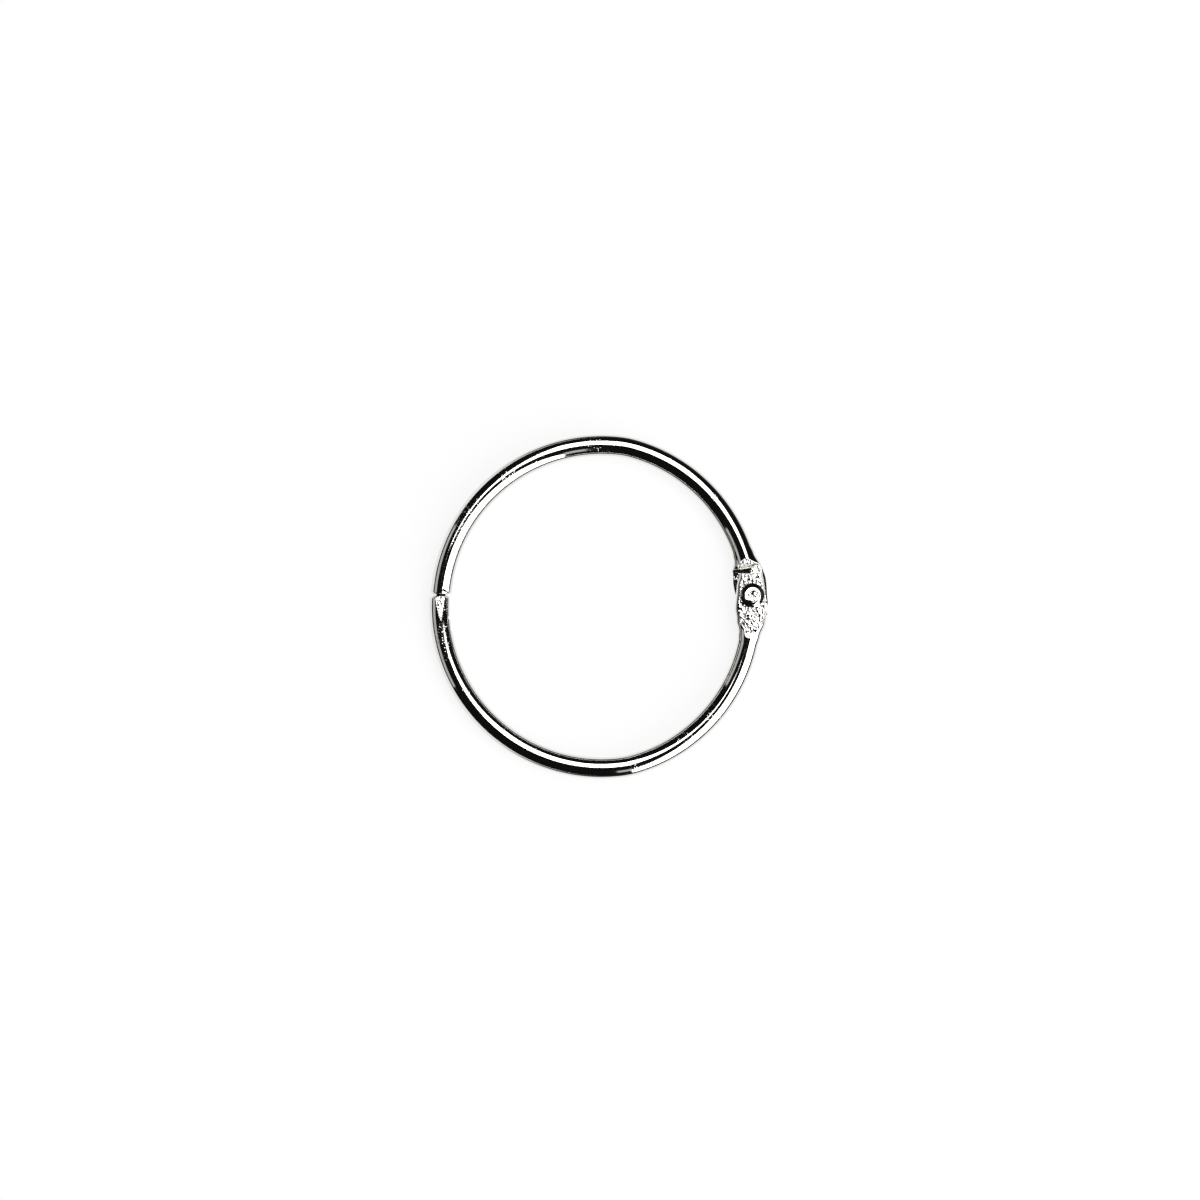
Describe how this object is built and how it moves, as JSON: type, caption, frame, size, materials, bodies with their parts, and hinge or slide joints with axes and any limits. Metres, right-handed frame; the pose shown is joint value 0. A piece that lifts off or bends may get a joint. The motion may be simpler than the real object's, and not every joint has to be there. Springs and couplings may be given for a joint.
{
  "type": "binder ring",
  "caption": "Hinged round binder ring of plated steel wire, with a riveted lap hinge and a snap peg closure.",
  "frame": {"origin": "centre of the closed ring's round bow, halfway up the wire", "axes": "+X from the ring's centre towards the rivet, +Y towards the half with the peg, +Z out of the ring's plane on the side of the rivet's domed head"},
  "size_m": [0.0576, 0.0581, 0.005],
  "materials": {
    "plated_wire": "polished",
    "plated_rivet": "polished"
  },
  "bodies": {
    "lower": {"lower_half": "plated_wire", "rivet": "plated_rivet"},
    "upper": {"upper_half": "plated_wire"}
  },
  "joints": [
    {"name": "ring_hinge", "type": "hinge", "parent": "lower", "child": "upper", "pos_m": [0.0254, 0.0018, 0], "axis": [0, 0, -1], "range_deg": [0, 130]}
  ]
}
